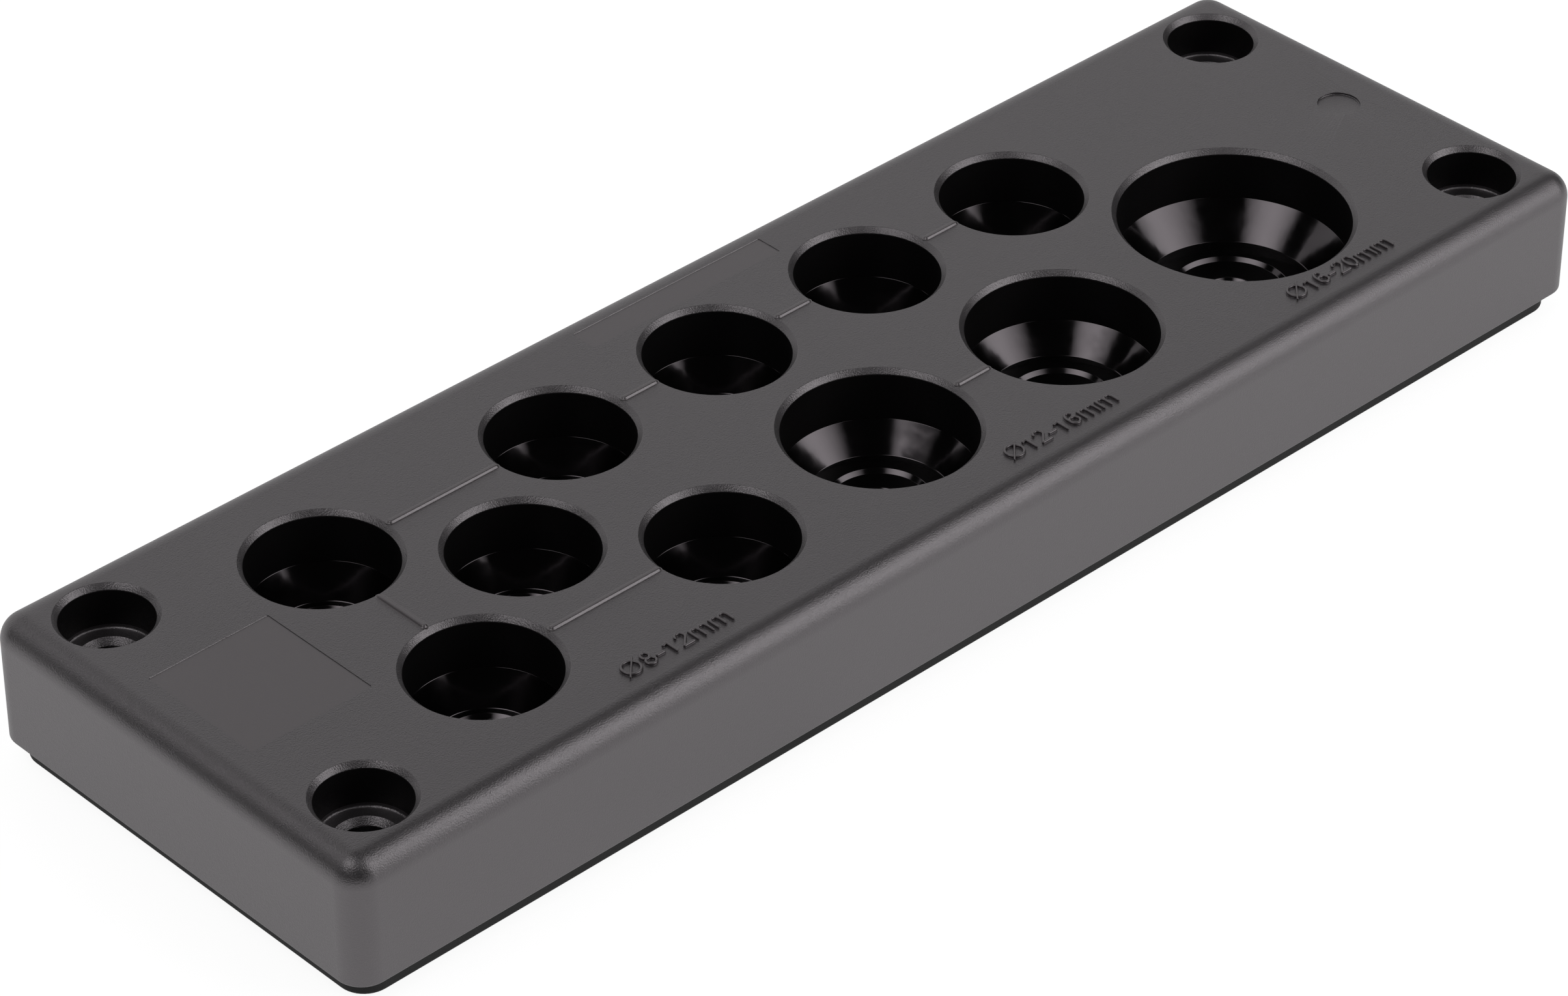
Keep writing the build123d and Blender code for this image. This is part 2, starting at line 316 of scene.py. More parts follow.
def bores():
    """Each cable bore as its name, place, radius and index in SIZES, from the frame's mounts."""
    found = []
    for mount in frame["record"]["mounts"]:
        if mount["kind"] == "bore":
            x, y, _ = mount["pos_m"]
            size = SIZES.index(mount["name"].split("_")[0])
            found.append((mount["name"][-2:], x, y, mount["dims"]["r_mm"] * MM, size))
    return found


def four_places(x, y):
    """The four points that lie x and y to either side of the middle."""
    return [(side_x * x, side_y * y) for side_x in (-1, 1) for side_y in (-1, 1)]


def screws():
    """The fixing holes: their radius, and the place of each, from the frame's bolt pattern."""
    pattern = next(mount for mount in frame["record"]["mounts"] if mount["kind"] == "bolt_pattern")
    sizes = pattern["dims"]
    places = four_places(sizes["spacing_x_mm"] * MM / 2, sizes["spacing_y_mm"] * MM / 2)
    return sizes["hole_r_mm"] * MM, places


def levels(settings):
    """Heights of the rim, the top face, the well's top and the collars' ends, from the frame."""
    low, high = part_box("cover_frame")
    top = high.z - settings.marks.frame_line
    return low.z, top, top - settings.cover.top_wall, top - settings.cover.collar_depth


def circle(x, y, radius, z):
    """Circle: x + r cos t and y + r sin t, with t over a full turn."""
    t = np.arange(BORE_STEPS) * (2 * np.pi / BORE_STEPS)
    return np.column_stack([x + radius * np.cos(t), y + radius * np.sin(t), np.full(BORE_STEPS, z)])


def rounded_rectangle(length, width, radius, z, x=0.0, y=0.0):
    """Rounded rectangle: from each corner's own centre, r cos t and r sin t over its quarter turn."""
    quarter = np.linspace(0, np.pi / 2, CORNER_STEPS + 1)
    t = (np.arange(4)[:, None] * np.pi / 2 + quarter).ravel()
    side_x = np.repeat([1, -1, -1, 1], CORNER_STEPS + 1)
    side_y = np.repeat([1, 1, -1, -1], CORNER_STEPS + 1)
    along = x + side_x * (length / 2 - radius) + radius * np.cos(t)
    across = y + side_y * (width / 2 - radius) + radius * np.sin(t)
    return np.column_stack([along, across, np.full(len(t), z)])


def softened(points, radii, steps=SMALL_EDGE_STEPS):
    """Profile with round corners: each inner corner becomes the arc of its radius that touches both sides,
    swept evenly between the two touching points."""
    points = np.array(points, float)
    pieces = [points[:1]]
    for before, corner, after, radius in zip(points, points[1:], points[2:], radii):
        back = (before - corner) / np.linalg.norm(before - corner)
        on = (after - corner) / np.linalg.norm(after - corner)
        half = math.acos(np.clip(back @ on, -1, 1)) / 2
        centre = corner + (back + on) / np.linalg.norm(back + on) * radius / math.sin(half)
        first = corner + back * radius / math.tan(half) - centre
        last = corner + on * radius / math.tan(half) - centre
        sweep = math.pi - 2 * half
        swept = np.linspace(0, 1, steps + 1)[:, None]
        arc = (np.sin((1 - swept) * sweep) * first + np.sin(swept * sweep) * last) / math.sin(sweep)
        pieces.append(centre + arc)
    pieces.append(points[-1:])
    return np.vstack(pieces)


def skin(loops):
    """Surface S(u, v) through closed loops: u runs round each loop and v from one loop to the next."""
    grid = np.array(loops)
    rows, columns, _ = grid.shape
    index = np.arange(rows * columns).reshape(rows, columns)
    beside = np.roll(index, -1, axis=1)
    quads = np.stack([index[:-1], beside[:-1], beside[1:], index[1:]], axis=-1).reshape(-1, 4)
    return grid.reshape(-1, 3), quads


def turned(x, y, profile):
    """Surface of revolution: the profile's radius and height, carried round the upright axis at x, y."""
    return skin([circle(x, y, radius, z) for radius, z in profile])


def carried(length, width, radius, profile):
    """Profile carried round a rounded rectangle: at each point the rectangle is offset by the profile's
    first value and lies at the height of its second."""
    return skin([
        rounded_rectangle(length + 2 * offset, width + 2 * offset, radius + offset, z)
        for offset, z in profile
    ])


def flat_face(outer, holes=()):
    """Flat face inside one loop and outside the others: the triangles of Delaunay's rule that keep every
    loop, without those whose three corners lie on one hole."""
    loops = [outer, *holes]
    points = np.vstack(loops)
    owner = np.repeat(np.arange(len(loops)), [len(loop) for loop in loops])
    first = np.cumsum([0] + [len(loop) for loop in loops[:-1]])
    edges = [
        np.column_stack([start + np.arange(len(loop)), start + (np.arange(len(loop)) + 1) % len(loop)])
        for start, loop in zip(first, loops)
    ]
    flat = (points[:, :2] / MM).tolist()
    _, _, found, origins, _, _ = delaunay_2d_cdt(flat, np.vstack(edges).tolist(), [], 0, FLAT_TOLERANCE)
    source = np.array([origin[0] for origin in origins])
    triangles = source[np.array(found)]
    owners = owner[triangles]
    on_one_hole = (owners[:, 0] > 0) & (owners[:, 0] == owners[:, 1]) & (owners[:, 1] == owners[:, 2])
    return points, triangles[~on_one_hole]


def new_piece(name, surfaces, node=None):
    """One closed mesh from surfaces, each with the name of its material: touching points are joined, all
    faces turned outwards, and normals weighted by area so that flat faces stay flat up to their rounded
    edges."""
    finishes = list(dict.fromkeys(finish for _, finish in surfaces))
    points = []
    faces = []
    kinds = []
    count = 0
    for (surface_points, surface_faces), finish in surfaces:
        points.append(surface_points)
        faces += (surface_faces + count).tolist()
        kinds += [finishes.index(finish)] * len(surface_faces)
        count += len(surface_points)
    mesh = bpy.data.meshes.new(name)
    mesh.from_pydata(np.vstack(points).tolist(), [], faces)
    for finish in finishes:
        mesh.materials.append(material(finish))
    mesh.polygons.foreach_set("material_index", kinds)
    shape = bmesh.new()
    shape.from_mesh(mesh)
    bmesh.ops.remove_doubles(shape, verts=shape.verts, dist=MERGE_DISTANCE)
    bmesh.ops.dissolve_degenerate(shape, edges=shape.edges, dist=MERGE_DISTANCE)
    bmesh.ops.recalc_face_normals(shape, faces=shape.faces)
    shape.to_mesh(mesh)
    shape.free()
    mesh.shade_smooth()
    mesh.set_sharp_from_angle(angle=SHARP_ANGLE)
    piece = bpy.data.objects.new(name, mesh)
    bpy.context.scene.collection.objects.link(piece)
    weighted = piece.modifiers.new("flat faces", "WEIGHTED_NORMAL")
    weighted.keep_sharp = True
    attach(piece, "root")
    if node:
        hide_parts(node)


def raised_section(width, height, foot, edge, lean=0.0):
    """Section of a raised stroke, as distances from its middle line and heights: a flat top between sides
    that lean in, with arcs of one radius along the foot and of another along the upper edges. Its sides
    end a little way down in the face that it stands on."""
    side = width / 2
    half = softened([(side + foot, 0), (side, 0), (side - lean, height), (0, height)], [foot, edge])[1:]
    half = np.vstack([(half[0, 0], -SUNK_DEPTH), half])
    return np.vstack([half * (-1, 1), half[-2::-1]])


def stroke(path, z, section, closed=False):
    """Raised stroke: the section carried along a flat path, square to it. With the section's distance a, the
    path's direction A and B square to its left, a point lies a cos s B - |a| sin s A from the path. The
    swing s is nil along the path, and runs to a quarter turn at each end of an open one."""
    if closed:
        ahead = np.roll(path, -1, axis=0) - np.roll(path, 1, axis=0)
        ahead = np.vstack([ahead, ahead[:1]])
        path = np.vstack([path, path[:1]])
        swing = np.zeros(len(path))
    else:
        ends = np.linspace(np.pi / 2, 0, STROKE_END_STEPS, endpoint=False)
        swing = np.concatenate([ends, np.zeros(len(path)), -ends[::-1]])
        repeated = ((STROKE_END_STEPS, STROKE_END_STEPS), (0, 0))
        ahead = np.pad(np.gradient(path, axis=0), repeated, "edge")
        path = np.pad(path, repeated, "edge")
    ahead /= np.linalg.norm(ahead, axis=1)[:, None]
    beside = np.column_stack([-ahead[:, 1], ahead[:, 0]])
    across, height = section.T
    sideways = np.outer(np.cos(swing), across)[:, :, None] * beside[:, None]
    back = np.outer(np.sin(swing), np.abs(across))[:, :, None] * ahead[:, None]
    heights = np.tile(z + height, (len(path), 1))[:, :, None]
    return skin(np.concatenate([path[:, None] + sideways - back, heights], axis=2))


def ellipse(x, y, radius_x, radius_y, first, last, steps=ARC_STEPS):
    """Arc of an ellipse: x + a cos t and y + b sin t, with t in degrees from first to last."""
    t = np.radians(np.linspace(first, last, steps + 1))
    return np.column_stack([x + radius_x * np.cos(t), y + radius_y * np.sin(t)])


def oval(x, y, radius_x, radius_y):
    """Closed ellipse, whose last point lies one step before its first."""
    return ellipse(x, y, radius_x, radius_y, 0, 360 - 360 / OVAL_STEPS, OVAL_STEPS - 1)


def run(*points):
    """Straight runs between points, each cut into short steps."""
    points = np.array(points, float)
    steps = np.linspace(0, 1, RUN_STEPS + 1)[1:, None]
    pieces = [points[:1]] + [first + steps * (last - first) for first, last in zip(points, points[1:])]
    return np.vstack(pieces)


def letter_shapes():
    """Centre lines of the characters of the size marks, in millimetres over the foot line: for each its
    width, and its strokes as a path, whether that path is closed, and its share of the stroke width."""
    digit = 1.34
    stem = run((-0.83, 0), (-0.83, 1.12))
    arch = np.vstack([ellipse(-0.415, 0.75, 0.415, 0.39, 180, 0), run((0, 0.75), (0, 0))[1:]])
    flag = run((0, 1.42), (-0.15, 1.27), (-0.42, 1.2))
    two = np.vstack([ellipse(0, 1.13, 0.45, 0.44, 165, -35), run((0.369, 0.878), (-0.5, 0))[1:]])
    six = np.vstack([ellipse(0, 0.8, 0.47, 0.77, 48, 180), run((-0.47, 0.8), (-0.47, 0.48))[1:]])
    return {
        "0": (digit, [(oval(0, 0.785, 0.46, 0.785), True, 1)]),
        "1": (digit, [(run((0, 0), (0, 1.41)), False, 1), (flag, False, 1)]),
        "2": (digit, [(two, False, 1), (run((-0.5, 0), (0.52, 0)), False, 1)]),
        "6": (digit, [(six, False, 1), (oval(0, 0.45, 0.47, 0.45), True, 1)]),
        "8": (digit, [(oval(0, 1.19, 0.37, 0.38), True, 1), (oval(0, 0.41, 0.46, 0.41), True, 1)]),
        "-": (1.08, [(run((-0.37, 0.6), (0.37, 0.6)), False, 1)]),
        "m": (2.19, [(stem, False, 1), (arch, False, 1), (arch + (0.83, 0), False, 1)]),
        "Ø": (2.22, [(oval(0, 0.82, 0.83, 0.83), True, 1), (run((-0.9, -0.1), (0.9, 1.74)), False, 0.7)]),
    }


def feed(node, inputs):
    """Gives each of a node's inputs its value, or links it to the socket that feeds it."""
    for key, value in inputs.items():
        if isinstance(value, bpy.types.NodeSocket):
            node.id_data.links.new(value, node.inputs[key])
        else:
            node.inputs[key].default_value = value


def add_node(tree, kind, inputs=(), **settings):
    """A new node with its settings and inputs."""
    made = tree.nodes.new(kind)
    for key, value in settings.items():
        setattr(made, key, value)
    feed(made, dict(inputs))
    return made


def calculated(tree, operation, *values):
    """Result of a calculation with numbers or sockets."""
    return add_node(tree, "ShaderNodeMath", enumerate(values), operation=operation).outputs["Value"]


def grain(tree, cell, detail=2):
    """Noise of one cell size, in metres, on the piece's own coordinates."""
    place = add_node(tree, "ShaderNodeTexCoord").outputs["Object"]
    noise = add_node(tree, "ShaderNodeTexNoise", {"Vector": place, "Scale": 1 / cell, "Detail": detail})
    return noise.outputs["Fac"]


def spread(tree, value, low, high):
    """Noise stretched to a range."""
    first, last = NOISE_RANGE
    return add_node(tree, "ShaderNodeMapRange", {
        "Value": value, "From Min": first, "From Max": last, "To Min": low, "To Max": high,
    }).outputs["Result"]


def two_tones(tree, factor, tint, tones):
    """Colour between a darker and a lighter tone of one tint."""
    darker, lighter = [[value * tone for value in tint] + [1] for tone in tones]
    return add_node(tree, "ShaderNodeMix", {0: factor, MIX_FIRST: darker, MIX_SECOND: lighter},
                    data_type="RGBA").outputs[MIX_RESULT]


def bumped(tree, height, distance, inputs=()):
    """Normal of a surface that is raised by up to a distance."""
    return add_node(tree, "ShaderNodeBump", {
        "Height": height, "Strength": 1, "Distance": distance, **dict(inputs),
    }).outputs["Normal"]


def node_material(name):
    """A new material, with its node tree and its shader."""
    made = bpy.data.materials.new(name)
    made.use_nodes = True
    return made, made.node_tree, made.node_tree.nodes["Principled BSDF"]


def moulded_plastic(name, finish, tint, index, depth):
    """Spark-eroded plastic: fine and finer grain in the bump, broad faint patches in the colour."""
    made, tree, shader = node_material(name)
    speckle = grain(tree, finish.speckle_size)
    smoother, rougher = [finish.plastic_roughness + stray for stray in PLASTIC_GLOSS]
    fine = bumped(tree, speckle, depth * SPECKLE_SHARE)
    feed(shader, {
        "Base Color": two_tones(tree, grain(tree, finish.patch_size, 3), tint, PATCH_TONES),
        "Roughness": spread(tree, speckle, smoother, rougher),
        "IOR": index,
        "Specular Tint": [*finish.plastic_sheen, 1],
        "Normal": bumped(tree, grain(tree, finish.grain_size), depth, {"Normal": fine}),
    })
    return made


def membrane_rubber(name, finish):
    """Smooth glossy rubber: faint clouds in the gloss, and a slightly uneven surface."""
    made, tree, shader = node_material(name)
    smoother, rougher = [finish.membrane_roughness + stray for stray in RUBBER_GLOSS]
    feed(shader, {
        "Base Color": [*finish.membrane, 1],
        "Roughness": spread(tree, grain(tree, finish.cloud_size, 3), smoother, rougher),
        "IOR": finish.membrane_index,
        "Specular Tint": [*finish.membrane_sheen, 1],
        "Normal": bumped(tree, grain(tree, finish.wave_size, 1), finish.wave_depth),
    })
    return made


def gasket_rubber(name, finish):
    """Matt rubber with an even fine tooth."""
    made, tree, shader = node_material(name)
    tooth = grain(tree, finish.tooth_size, 3)
    feed(shader, {
        "Base Color": two_tones(tree, spread(tree, tooth, 0, 1), finish.gasket, TOOTH_TONES),
        "Roughness": finish.gasket_roughness,
        "IOR": finish.gasket_index,
        "Normal": bumped(tree, tooth, finish.tooth_depth),
    })
    return made


def material(name):
    """One of the plate's materials, made on its first use."""
    if name in bpy.data.materials:
        return bpy.data.materials[name]
    finish = bpy.context.scene.cable_plate.finish
    plastics = {
        GRAINED: (finish.plastic, finish.plastic_index, finish.plastic_grain),
        # The bores' darker, less mirroring plastic is painted shade
        SHADED_BORES: (finish.bore, finish.shaded_bore_index, finish.bore_grain),
        BARE: (finish.panel, finish.plastic_index, finish.panel_grain),
    }
    if name in plastics:
        return moulded_plastic(name, finish, *plastics[name])
    if name == GLOSSY:
        return membrane_rubber(name, finish)
    return gasket_rubber(name, finish)


class PLATE_OT_cover(Operator):
    """Hard cover: rounded body, well with collars, bores, screw seats and shallow marks"""

    bl_idname = "cable_plate.build_cover"
    bl_label = "Build cover"

    def execute(self, context):
        """Each feature adds its surfaces, and its loops in the flat faces: of these, the first one is
        the face's outline, and the others are its holes."""
        settings = context.scene.cable_plate
        surfaces = []
        loops = {"top": [], "rim": [], "ceiling": []}
        for add_feature in (self.body, self.well, self.cable_bores, self.screw_seats, self.dimple,
                            self.bare_panels, self.end_pockets):
            add_feature(settings, surfaces, loops)
        for outline, *holes in loops.values():
            surfaces.append((flat_face(outline, holes), GRAINED))
        new_piece("hard_cover", surfaces, "cover_frame")
        return {"FINISHED"}

    def body(self, settings, surfaces, loops):
        """Outside of the cover, from the rim to the flat of the top face."""
        cover = settings.cover
        rim, top, _, _ = levels(settings)
        low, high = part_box("cover_frame")
        profile = softened(
            [(-cover.lower_edge_radius, rim), (0, rim), (0, top), (-cover.top_edge_radius, top)],
            [cover.lower_edge_radius, cover.top_edge_radius], BODY_EDGE_STEPS)
        outside = carried(high.x - low.x, high.y - low.y, cover.corner_radius, profile)
        outlines = outside[0].reshape(len(profile), -1, 3)
        surfaces.append((outside, GRAINED))
        loops["rim"].append(outlines[0])
        loops["top"].append(outlines[-1])

    def well(self, settings, surfaces, loops):
        """Wall of the well, with the groove for the insert's bead."""
        cover = settings.cover
        rim, _, well_top, collar_end = levels(settings)
        sizes = (cover.well_length, cover.well_width, cover.well_radius)
        reach = cover.groove_reach
        groove_top = collar_end - cover.groove_drop
        groove_low = groove_top - cover.groove_height
        groove = [(0, groove_low), (reach, groove_low), (reach, groove_top), (0, groove_top)]
        surfaces.append((carried(*sizes, [(0, rim), *groove, (0, well_top)]), GRAINED))
        loops["rim"].append(rounded_rectangle(*sizes, rim))
        loops["ceiling"].append(rounded_rectangle(*sizes, well_top))

    def mouth(self, settings, radius):
        """Profile of a hole's chamfered mouth, from the top face down to where the hole's wall starts."""
        _, top, _, _ = levels(settings)
        broken = settings.cover.edge_rounding
        outer = radius + settings.cover.bore_chamfer
        low = top - settings.cover.bore_chamfer
        points = [(outer + broken / 2, top), (outer, top), (radius, low), (radius, low - broken)]
        return softened(points, [broken, broken])

    def cable_bores(self, settings, surfaces, loops):
        """Mouth, wall and collar of each cable bore."""
        _, top, well_top, collar_end = levels(settings)
        for _, x, y, radius, _ in bores():
            collar = radius + settings.cover.collar_wall
            mouth = self.mouth(settings, radius)
            wall = [mouth[-1], (radius, collar_end), (collar, collar_end), (collar, well_top)]
            # Walls and collars take the darker bore plastic: painted shade inside the bores
            surfaces += [(turned(x, y, mouth), GRAINED), (turned(x, y, wall), SHADED_BORES)]
            loops["top"].append(circle(x, y, mouth[0, 0], top))
            loops["ceiling"].append(circle(x, y, collar, well_top))

    def screw_seats(self, settings, surfaces, loops):
        """Mouth, wall, seat and hole of each fixing screw."""
        cover = settings.cover
        rim, top, _, _ = levels(settings)
        radius, places = screws()
        head = cover.screw_head_radius
        broken = cover.edge_rounding
        seat = top - cover.screw_seat_depth
        wall_end = seat + cover.screw_wall_end
        lead_end = seat - cover.screw_lead_in
        mouth = self.mouth(settings, head)
        seat_profile = softened(
            [(head, wall_end), (head, seat), (radius + cover.screw_lead_in, seat), (radius, lead_end),
             (radius, lead_end - broken)],
            [cover.screw_seat_fillet, broken, broken])
        # The holes' smooth walls take the darker bore plastic: painted shade inside the holes
        profiles = (
            (mouth, GRAINED),
            ([mouth[-1], (head, wall_end)], SHADED_BORES),
            (seat_profile, GRAINED),
            ([seat_profile[-1], (radius, rim)], SHADED_BORES),
        )
        for x, y in places:
            surfaces += [(turned(x, y, profile), finish) for profile, finish in profiles]
            loops["top"].append(circle(x, y, mouth[0, 0], top))
            loops["rim"].append(circle(x, y, radius, rim))

    def dimple(self, settings, surfaces, loops):
        """Round dimple between the two screw seats of the end with the large bore."""
        marks = settings.marks
        _, top, _, _ = levels(settings)
        x = max(x for x, _ in screws()[1])
        radius = marks.dimple_radius
        floor = top - marks.dimple_depth
        profile = softened(
            [(radius + marks.dimple_rounding, top), (radius, top), (radius, floor), (0, floor)],
            [marks.dimple_rounding, settings.cover.edge_rounding])
        surfaces.append((turned(x, 0, profile), GRAINED))
        loops["top"].append(circle(x, 0, profile[0, 0], top))

    def bare_panels(self, settings, surfaces, loops):
        """Square panel and strip panel, each a shallow recess whose walls lean in."""
        marks = settings.marks
        _, top, _, _ = levels(settings)
        _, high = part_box("cover_frame")
        draft = marks.panel_draft
        floor = top - marks.panel_depth
        for length, width, x, y in (
            (marks.badge_length, marks.badge_width, marks.badge_x, marks.badge_y),
            (marks.strip_length, marks.strip_width, 0, high.y - marks.strip_inset),
        ):
            radius = marks.panel_radius
            upper = rounded_rectangle(length, width, radius, top, x, y)
            lower = rounded_rectangle(length - 2 * draft, width - 2 * draft, radius - draft, floor, x, y)
            surfaces += [(skin([upper, lower]), GRAINED), (flat_face(lower), BARE)]
            loops["top"].append(upper)

    def end_pockets(self, settings, surfaces, loops):
        """Two pockets in the underside of each end."""
        cover = settings.cover
        rim, _, well_top, _ = levels(settings)
        _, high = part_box("cover_frame")
        pocket_x = high.x - cover.pocket_wall - cover.pocket_length / 2
        pocket_y = (cover.pocket_rib + cover.pocket_width) / 2
        sizes = (cover.pocket_length, cover.pocket_width, cover.pocket_radius)
        for x, y in four_places(pocket_x, pocket_y):
            lower = rounded_rectangle(*sizes, rim, x, y)
            upper = rounded_rectangle(*sizes, well_top, x, y)
            surfaces += [(skin([lower, upper]), GRAINED), (flat_face(upper), GRAINED)]
            loops["rim"].append(lower)


class PLATE_OT_lines(Operator):
    """Fine raised lines that join bores of one size"""

    bl_idname = "cable_plate.build_lines"
    bl_label = "Build fine lines"

    def execute(self, context):
        settings = context.scene.cable_plate
        marks = settings.marks
        _, top, _, _ = levels(settings)
        found = {name: (np.array((x, y)), radius) for name, x, y, radius, _ in bores()}
        section = raised_section(marks.line_width, marks.line_height, marks.line_foot, marks.line_edge,
                                 marks.line_lean)
        clear = settings.cover.bore_chamfer - marks.line_overlap + section[:, 0].max()
        surfaces = []
        for first, last in LINED_BORES:
            start, start_radius = found[first]
            end, end_radius = found[last]
            ahead = (end - start) / np.linalg.norm(end - start)
            path = run(start + ahead * (start_radius + clear), end - ahead * (end_radius + clear))
            surfaces.append((stroke(path, top, section), BARE))
        new_piece("fine_lines", surfaces)
        return {"FINISHED"}


class PLATE_OT_size_marks(Operator):
    """Raised marks that give the cable diameters of each size of bore"""

    bl_idname = "cable_plate.build_size_marks"
    bl_label = "Build size marks"

    def execute(self, context):
        settings = context.scene.cable_plate
        marks = settings.marks
        _, top, _, _ = levels(settings)
        low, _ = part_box("cover_frame")
        foot = low.y + marks.mark_inset
        shapes = letter_shapes()
        for size, words in enumerate(SIZE_WORDS):
            front = [x for _, x, y, _, kind in bores() if kind == size and y < 0]
            pen = (min(front) + max(front)) / 2 - sum(shapes[letter][0] for letter in words) * MM / 2
            surfaces = []
            for letter in words:
                advance, strokes = shapes[letter]
                middle = pen + advance * MM / 2
                for order, (path, closed, thinner) in enumerate(strokes):
                    height = marks.stroke_height + order * marks.stroke_step
                    section = raised_section(marks.stroke_width * thinner, height, marks.stroke_foot,
                                             marks.stroke_edge * thinner)
                    surfaces.append((stroke(path * MM + (middle, foot), top, section, closed), BARE))
                pen += advance * MM
            new_piece(f"{SIZES[size]}_size_mark", surfaces)
        return {"FINISHED"}


class PLATE_OT_insert(Operator):
    """Soft insert: one plate, and under each bore a funnel, a floor and two steps to a closed centre"""

    bl_idname = "cable_plate.build_insert"
    bl_label = "Build insert"

    def execute(self, context):
        settings = context.scene.cable_plate
        cover = settings.cover
        insert = settings.insert
        _, top, _, plate_top = levels(settings)
        plate_low = plate_top - insert.plate_wall
        length = cover.well_length - 2 * insert.side_gap
        width = cover.well_width - 2 * insert.side_gap
        corner = cover.well_radius - insert.side_gap
        reach = cover.groove_reach - insert.bead_gap + insert.side_gap
        bead_top = plate_top - cover.groove_drop - insert.bead_gap
        bead_low = bead_top - cover.groove_height + 2 * insert.bead_gap
        bead = [(0, bead_low), (reach, bead_low), (reach, bead_top), (0, bead_top)]
        edge = [(0, plate_low), *bead, (0, plate_top)]
        surfaces = [(carried(length, width, corner, edge), GLOSSY)]
        upper_loops = []
        lower_loops = []
        for _, x, y, radius, size in bores():
            floor = top - insert.floor_depths[size]
            upper = self.upper_profile(insert, size, radius, floor, plate_top)
            lower = self.lower_profile(insert, size, floor, plate_low)
            surfaces += [(turned(x, y, upper), GLOSSY), (turned(x, y, lower), GLOSSY)]
            upper_loops.append(circle(x, y, upper[-1, 0], plate_top))
            lower_loops.append(circle(x, y, lower[-1, 0], plate_low))
        for z, loops in ((plate_top, upper_loops), (plate_low, lower_loops)):
            surfaces.append((flat_face(rounded_rectangle(length, width, corner, z), loops), GLOSSY))
        new_piece("soft_insert", surfaces, "membrane_insert")
        return {"FINISHED"}

    def steps(self, insert, floor, outer, inner):
        """Profile of the two steps, from the closed centre out to the floor."""
        middle = floor - insert.step_drop
        centre = middle - insert.step_drop
        return [(0, centre), (inner - insert.step_width, centre), (inner, middle),
                (outer - insert.step_width, middle), (outer, floor)]

    def upper_profile(self, insert, size, radius, floor, plate_top):
        """Upper side of a membrane: steps, floor, funnel and the ring round its mouth."""
        throat = insert.throat_radii[size]
        mouth = radius + insert.seam_step
        land = mouth + insert.mouth_land
        steps = self.steps(insert, floor, insert.outer_steps[size], insert.inner_steps[size])
        return softened(
            [*steps, (throat, floor), (mouth, plate_top), (land, plate_top)],
            [insert.step_rounding] * 4 + [insert.throat_rounding, insert.mouth_rounding])

    def lower_profile(self, insert, size, floor, plate_low):
        """Lower side of a membrane: steps one wall below those above, and the outside of its sleeve."""
        under = floor - insert.membrane_wall
        outer = insert.outer_steps[size] + insert.membrane_wall / 2
        inner = insert.inner_steps[size] + insert.membrane_wall / 2
        sleeve = insert.throat_radii[size] + insert.sleeve_wall
        steps = self.steps(insert, under, outer, inner)
        return softened(
            [*steps, (sleeve, under), (sleeve, plate_low)],
            [insert.step_rounding] * 4 + [insert.sleeve_rounding])


class PLATE_OT_gasket(Operator):
    """Flat gasket: the frame's own piece, in matt rubber"""

    bl_idname = "cable_plate.finish_gasket"
    bl_label = "Finish gasket"

    def execute(self, context):
        materials = frame["nodes"]["flange_gasket"].data.materials
        materials.clear()
        materials.append(material(MATT))
        return {"FINISHED"}


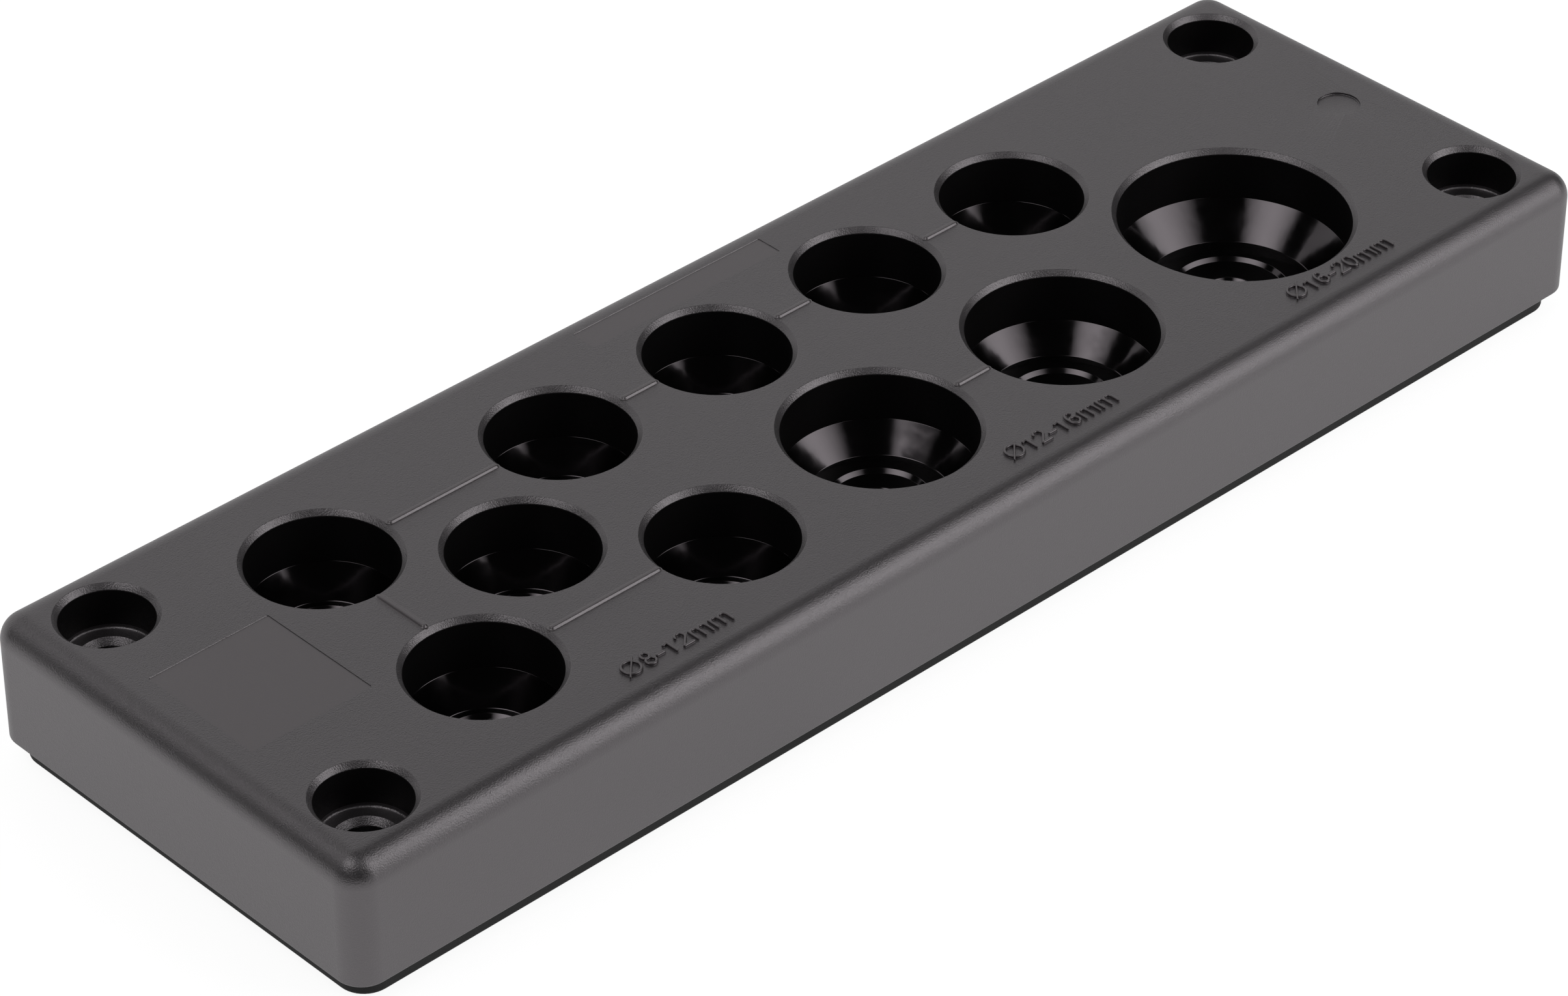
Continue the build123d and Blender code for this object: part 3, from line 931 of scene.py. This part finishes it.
class PLATE_OT_stage(Operator):
    """Camera, softboxes, world and pale floor"""

    bl_idname = "cable_plate.set_stage"
    bl_label = "Set stage"

    def execute(self, context):
        settings = context.scene.cable_plate
        stage = settings.stage
        _, top, _, _ = levels(settings)
        context.scene.view_settings.view_transform = "Standard"
        self.add_camera(context, stage, top)
        for softbox in SOFTBOXES:
            self.add_softbox(context, stage, *softbox)
        self.add_world(context, stage)
        self.add_floor(context, stage)
        return {"FINISHED"}

    def direction(self, azimuth, elevation):
        """Unit vector towards a place round the plate: azimuth 0 lies on the front, -Y."""
        level = math.cos(elevation)
        return Vector((math.sin(azimuth) * level, -math.cos(azimuth) * level, math.sin(elevation)))

    def add_camera(self, context, stage, top):
        lens = bpy.data.cameras.new("camera")
        lens.sensor_width = SENSOR_WIDTH
        lens.lens = stage.focal_length
        lens.clip_start = NEAREST_SEEN
        lens.clip_end = FARTHEST_SEEN
        back = self.direction(stage.azimuth, stage.elevation)
        camera = bpy.data.objects.new("camera", lens)
        camera.location = Vector((stage.aim_x, stage.aim_y, top)) + back * stage.distance
        camera.rotation_mode = "QUATERNION"
        camera.rotation_quaternion = (-back).to_track_quat("-Z", "Y")
        context.scene.collection.objects.link(camera)
        context.scene.camera = camera

    def add_softbox(self, context, stage, name, first, last, tall, distance, radiance, fading):
        """One softbox, as SOFTBOXES gives it, square to the line from the plate to its lower edge."""
        corners = [
            self.direction(stage.azimuth + math.radians(turn), math.radians(height)) * distance
            for turn, height in (last, first)
        ]
        along = corners[0] - corners[1]
        towards = (corners[0] + corners[1]) / 2
        up = towards.cross(along).normalized()
        if up.z < 0:
            up.negate()
        lamp = bpy.data.lights.new(name, "AREA")
        lamp.shape = "RECTANGLE"
        lamp.size = along.length
        lamp.size_y = towards.length * math.tan(math.radians(tall))
        lamp.energy = radiance * math.pi * lamp.size * lamp.size_y
        if fading:
            self.fade(lamp, fading)
        softbox = bpy.data.objects.new(name, lamp)
        softbox.location = towards + up * lamp.size_y / 2
        side = along.normalized()
        away = towards.normalized()
        softbox.rotation_mode = "QUATERNION"
        softbox.rotation_quaternion = Matrix((side, away.cross(side), away)).transposed().to_quaternion()
        context.scene.collection.objects.link(softbox)

    def fade(self, lamp, axis):
        """Softbox that is brightest in its middle: 1.5 (1 - d^2) of its mean, where d runs from -1 to 1."""
        lamp.use_nodes = True
        tree = lamp.node_tree
        place = add_node(tree, "ShaderNodeNewGeometry").outputs["Parametric"]
        across = add_node(tree, "ShaderNodeSeparateXYZ", {"Vector": place}).outputs[axis]
        from_middle = calculated(tree, "MULTIPLY_ADD", across, 2, -1)
        square = calculated(tree, "MULTIPLY", from_middle, from_middle)
        strength = calculated(tree, "MULTIPLY_ADD", square, -FADE_PEAK, FADE_PEAK)
        feed(tree.nodes["Emission"], {"Strength": strength})

    def add_world(self, context, stage):
        """White for the camera, a low even light for matt surfaces, and nearly dark in reflections."""
        world = bpy.data.worlds.new("studio")
        context.scene.world = world
        world.use_nodes = True
        tree = world.node_tree
        rays = add_node(tree, "ShaderNodeLightPath").outputs
        unseen = add_node(tree, "ShaderNodeMapRange", {
            "Value": rays["Is Glossy Ray"], "To Min": stage.world_light, "To Max": stage.world_mirrored,
        }).outputs["Result"]
        strength = calculated(tree, "MAXIMUM", rays["Is Camera Ray"], unseen)
        feed(tree.nodes["Background"], {"Color": WHITE, "Strength": strength})

    def add_floor(self, context, stage):
        """Pale matt floor. The camera sees it as mostly even white, and reflections as partly white."""
        half = stage.floor_size / 2
        low = -stage.floor_gap
        corners = [(-half, -half, low), (half, -half, low), (half, half, low), (-half, half, low)]
        mesh = bpy.data.meshes.new("floor")
        mesh.from_pydata(corners, [], [(0, 1, 2, 3)])
        floor = bpy.data.objects.new("floor", mesh)
        context.scene.collection.objects.link(floor)
        surface, tree, shader = node_material("pale_floor")
        feed(shader, {
            "Base Color": [*stage.floor, 1],
            "Roughness": stage.floor_roughness,
            "Specular IOR Level": stage.floor_gloss,
        })
        rays = add_node(tree, "ShaderNodeLightPath").outputs
        shown = calculated(tree, "MULTIPLY", rays["Is Camera Ray"], stage.floor_shown)
        white_share = calculated(tree, "MULTIPLY_ADD", rays["Is Glossy Ray"], stage.floor_mirrored, shown)
        white = add_node(tree, "ShaderNodeEmission", {"Color": WHITE, "Strength": stage.floor_white})
        mixed = add_node(tree, "ShaderNodeMixShader", {
            0: white_share, 1: shader.outputs["BSDF"], 2: white.outputs["Emission"],
        })
        feed(tree.nodes["Material Output"], {"Surface": mixed.outputs["Shader"]})
        mesh.materials.append(surface)


class PLATE_PT_panel(Panel):
    """Steps and sizes of the plate"""

    bl_idname = "PLATE_PT_panel"
    bl_label = "Cable entry plate"
    bl_space_type = "VIEW_3D"
    bl_region_type = "UI"
    bl_category = "Cable plate"

    def draw(self, context):
        settings = context.scene.cable_plate
        for step in STEPS:
            self.layout.operator(step.bl_idname)
        for group in (settings.cover, settings.marks, settings.insert, settings.finish, settings.stage):
            box = self.layout.box()
            for name in group.bl_rna.properties.keys():
                if name not in ("rna_type", "name"):
                    box.prop(group, name)


STEPS = (
    PLATE_OT_cover, PLATE_OT_lines, PLATE_OT_size_marks, PLATE_OT_insert, PLATE_OT_gasket, PLATE_OT_stage,
)
CLASSES = (
    CoverSizes, TopMarkSizes, InsertSizes, Finishes, StageSizes, PlateSettings, *STEPS, PLATE_PT_panel,
)


def register():
    for each in CLASSES:
        bpy.utils.register_class(each)
    bpy.types.Scene.cable_plate = PointerProperty(type=PlateSettings)


def unregister():
    del bpy.types.Scene.cable_plate
    for each in reversed(CLASSES):
        bpy.utils.unregister_class(each)


def main():
    """Builds every piece and the stage."""
    register()
    bpy.ops.cable_plate.build_cover()
    bpy.ops.cable_plate.build_lines()
    bpy.ops.cable_plate.build_size_marks()
    bpy.ops.cable_plate.build_insert()
    bpy.ops.cable_plate.finish_gasket()
    bpy.ops.cable_plate.set_stage()


if __name__ == "__main__":
    main()
